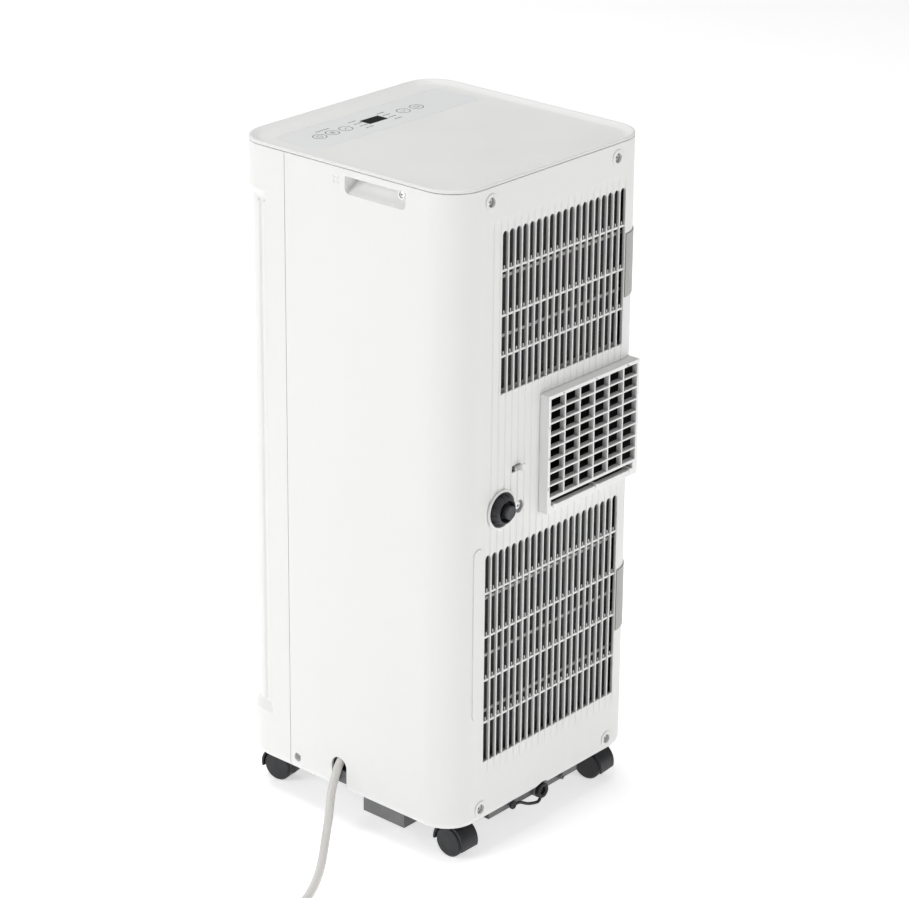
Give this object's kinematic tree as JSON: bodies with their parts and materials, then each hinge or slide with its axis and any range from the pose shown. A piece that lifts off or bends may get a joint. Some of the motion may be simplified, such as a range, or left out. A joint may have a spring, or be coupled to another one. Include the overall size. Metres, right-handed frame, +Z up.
{
  "type": "portable air conditioner",
  "caption": "Slim portable air conditioner on swivel castors, with rear grilles, pull-out filters, an exhaust collar, a front louver, drains and a power cord.",
  "frame": {"origin": "on the floor, under the centre of the cabinet's footprint with the rear fittings included", "axes": "+Z up, -Y the front with the louver, +Y the rear with the grilles, +X the side that the cord leaves"},
  "size_m": [0.5535, 0.4139, 0.6975],
  "materials": {
    "cabinet_white": "fine satin",
    "cover_white": "fine matt",
    "film_pale": "satin film",
    "display_black": "gloss",
    "base_grey": "matt",
    "collar_white": "fine satin",
    "duct_black": "matt",
    "cap_black": "satin",
    "rubber_black": "matt",
    "screw_steel": "polished",
    "filter_grey": "satin",
    "filter_net": "woven",
    "fin_aluminium": "satin",
    "casing_white": "matt",
    "wheel_black": "matt",
    "fan_black": "matt",
    "motor_steel": "satin",
    "compressor_black": "satin",
    "pipe_copper": "satin",
    "box_zinc": "satin",
    "board_green": "satin",
    "vane_white": "satin",
    "cord_grey": "satin",
    "gland_grey": "matt"
  },
  "bodies": {
    "cabinet": {"rear_shell": "cabinet_white", "front_panel": "cabinet_white", "top_cover": "cover_white", "control_film": "film_pale", "display_window": "display_black", "base_pan": "base_grey", "exhaust_collar": "collar_white", "exhaust_duct": "duct_black", "mid_drain_spout": "cabinet_white", "drain_strap": "rubber_black", "rear_screws": "screw_steel", "side_screws": "screw_steel", "wall_hook": "cabinet_white", "evaporator_coil": "fin_aluminium", "condenser_coil": "fin_aluminium", "evaporator_casing": "casing_white", "evaporator_motor": "motor_steel", "condenser_casing": "duct_black", "condenser_motor": "motor_steel", "compressor": "compressor_black", "drain_sump": "base_grey", "compressor_feet": "rubber_black", "partition_tray": "casing_white", "suction_pipe": "pipe_copper", "discharge_pipe": "pipe_copper", "control_box": "box_zinc", "control_board": "board_green", "outlet_duct": "duct_black", "louver_motor": "motor_steel", "slinger_motor": "motor_steel", "cord_gland": "gland_grey", "power_cord": "cord_grey", "cord_coil": "cord_grey", "cord_tail": "cord_grey", "power_plug": "cord_grey"},
    "upper_filter": {"upper_filter_frame": "filter_grey", "upper_filter_mesh": "filter_net"},
    "lower_filter": {"lower_filter_frame": "filter_grey", "lower_filter_mesh": "filter_net"},
    "mid_cap": {"mid_drain_cap": "cap_black"},
    "lower_plug": {"lower_drain_plug": "rubber_black"},
    "flap": {"louver_flap": "vane_white"},
    "vane_link": {"vane_link": "fan_black"},
    "evaporator_fan": {"evaporator_wheel": "fan_black"},
    "condenser_fan": {"condenser_wheel": "fan_black"},
    "slinger": {"slinger_wheel": "fan_black"},
    "vane_1": {"vane_1": "vane_white"},
    "vane_2": {"vane_2": "vane_white"},
    "vane_3": {"vane_3": "vane_white"},
    "vane_4": {"vane_4": "vane_white"},
    "vane_5": {"vane_5": "vane_white"},
    "vane_6": {"vane_6": "vane_white"},
    "castor_1": {"castor_1_fork": "wheel_black"},
    "castor_1_wheels": {"castor_1_wheels": "wheel_black"},
    "castor_2": {"castor_2_fork": "wheel_black"},
    "castor_2_wheels": {"castor_2_wheels": "wheel_black"},
    "castor_3": {"castor_3_fork": "wheel_black"},
    "castor_3_wheels": {"castor_3_wheels": "wheel_black"},
    "castor_4": {"castor_4_fork": "wheel_black"},
    "castor_4_wheels": {"castor_4_wheels": "wheel_black"}
  },
  "joints": [
    {"name": "upper_filter_pull", "type": "slide", "parent": "cabinet", "child": "upper_filter", "axis": [-1, 0, 0], "range_m": [0, 0.2]},
    {"name": "lower_filter_pull", "type": "slide", "parent": "cabinet", "child": "lower_filter", "axis": [-1, 0, 0], "range_m": [0, 0.2]},
    {"name": "mid_cap_pull", "type": "slide", "parent": "cabinet", "child": "mid_cap", "axis": [0, 1, 0], "range_m": [0, 0.03]},
    {"name": "lower_plug_pull", "type": "slide", "parent": "cabinet", "child": "lower_plug", "axis": [0, 1, 0], "range_m": [0, 0.018]},
    {"name": "flap_hinge", "type": "hinge", "parent": "cabinet", "child": "flap", "pos_m": [0, -0.14075, 0.5645], "axis": [1, 0, 0], "range_deg": [0, 70]},
    {"name": "vane_1_turn", "type": "hinge", "parent": "cabinet", "child": "vane_1", "pos_m": [-0.07, -0.11875, 0.5915], "axis": [0, 0, 1], "range_deg": [-25, 25]},
    {"name": "vane_2_turn", "type": "hinge", "parent": "cabinet", "child": "vane_2", "pos_m": [-0.042, -0.11875, 0.5915], "axis": [0, 0, 1], "range_deg": [-25, 25]},
    {"name": "vane_3_turn", "type": "hinge", "parent": "cabinet", "child": "vane_3", "pos_m": [-0.014, -0.11875, 0.5915], "axis": [0, 0, 1], "range_deg": [-25, 25]},
    {"name": "vane_4_turn", "type": "hinge", "parent": "cabinet", "child": "vane_4", "pos_m": [0.014, -0.11875, 0.5915], "axis": [0, 0, 1], "range_deg": [-25, 25]},
    {"name": "vane_5_turn", "type": "hinge", "parent": "cabinet", "child": "vane_5", "pos_m": [0.042, -0.11875, 0.5915], "axis": [0, 0, 1], "range_deg": [-25, 25]},
    {"name": "vane_6_turn", "type": "hinge", "parent": "cabinet", "child": "vane_6", "pos_m": [0.07, -0.11875, 0.5915], "axis": [0, 0, 1], "range_deg": [-25, 25]},
    {"name": "vane_link_slide", "type": "slide", "parent": "cabinet", "child": "vane_link", "axis": [-1, 0, 0], "range_m": [-0.0044, 0.0044]},
    {"name": "evaporator_fan_spin", "type": "hinge", "parent": "cabinet", "child": "evaporator_fan", "pos_m": [0, -0.00675, 0.5735], "axis": [0, 1, 0], "continuous": true},
    {"name": "condenser_fan_spin", "type": "hinge", "parent": "cabinet", "child": "condenser_fan", "pos_m": [-0.004, -0.00675, 0.2265], "axis": [0, 1, 0], "continuous": true},
    {"name": "slinger_spin", "type": "hinge", "parent": "cabinet", "child": "slinger", "pos_m": [-0.06, 0.09125, 0.0705], "axis": [0, 1, 0], "continuous": true},
    {"name": "castor_1_swivel", "type": "hinge", "parent": "cabinet", "child": "castor_1", "pos_m": [0.107, 0.10025, 0.044], "axis": [0, 0, 1], "continuous": true},
    {"name": "castor_1_roll", "type": "hinge", "parent": "castor_1", "child": "castor_1_wheels", "pos_m": [0.107, 0.11125, 0.016], "axis": [1, 0, 0], "continuous": true},
    {"name": "castor_2_swivel", "type": "hinge", "parent": "cabinet", "child": "castor_2", "pos_m": [0.107, -0.11375, 0.044], "axis": [0, 0, 1], "continuous": true},
    {"name": "castor_2_roll", "type": "hinge", "parent": "castor_2", "child": "castor_2_wheels", "pos_m": [0.10853, -0.12464, 0.016], "axis": [-0.9903, -0.1392, 0], "continuous": true},
    {"name": "castor_3_swivel", "type": "hinge", "parent": "cabinet", "child": "castor_3", "pos_m": [-0.107, 0.10025, 0.044], "axis": [0, 0, 1], "continuous": true},
    {"name": "castor_3_roll", "type": "hinge", "parent": "castor_3", "child": "castor_3_wheels", "pos_m": [-0.10796, 0.11121, 0.016], "axis": [0.9962, 0.0872, 0], "continuous": true},
    {"name": "castor_4_swivel", "type": "hinge", "parent": "cabinet", "child": "castor_4", "pos_m": [-0.107, -0.11375, 0.044], "axis": [0, 0, 1], "continuous": true},
    {"name": "castor_4_roll", "type": "hinge", "parent": "castor_4", "child": "castor_4_wheels", "pos_m": [-0.10415, -0.12437, 0.016], "axis": [-0.9659, -0.2588, 0], "continuous": true}
  ],
  "couplings": [
    {"joint": "vane_2_turn", "follows": "vane_1_turn", "ratio": 1},
    {"joint": "vane_3_turn", "follows": "vane_1_turn", "ratio": 1},
    {"joint": "vane_4_turn", "follows": "vane_1_turn", "ratio": 1},
    {"joint": "vane_5_turn", "follows": "vane_1_turn", "ratio": 1},
    {"joint": "vane_6_turn", "follows": "vane_1_turn", "ratio": 1},
    {"joint": "vane_link_slide", "follows": "vane_1_turn", "m_per_rad": 0.009686}
  ]
}
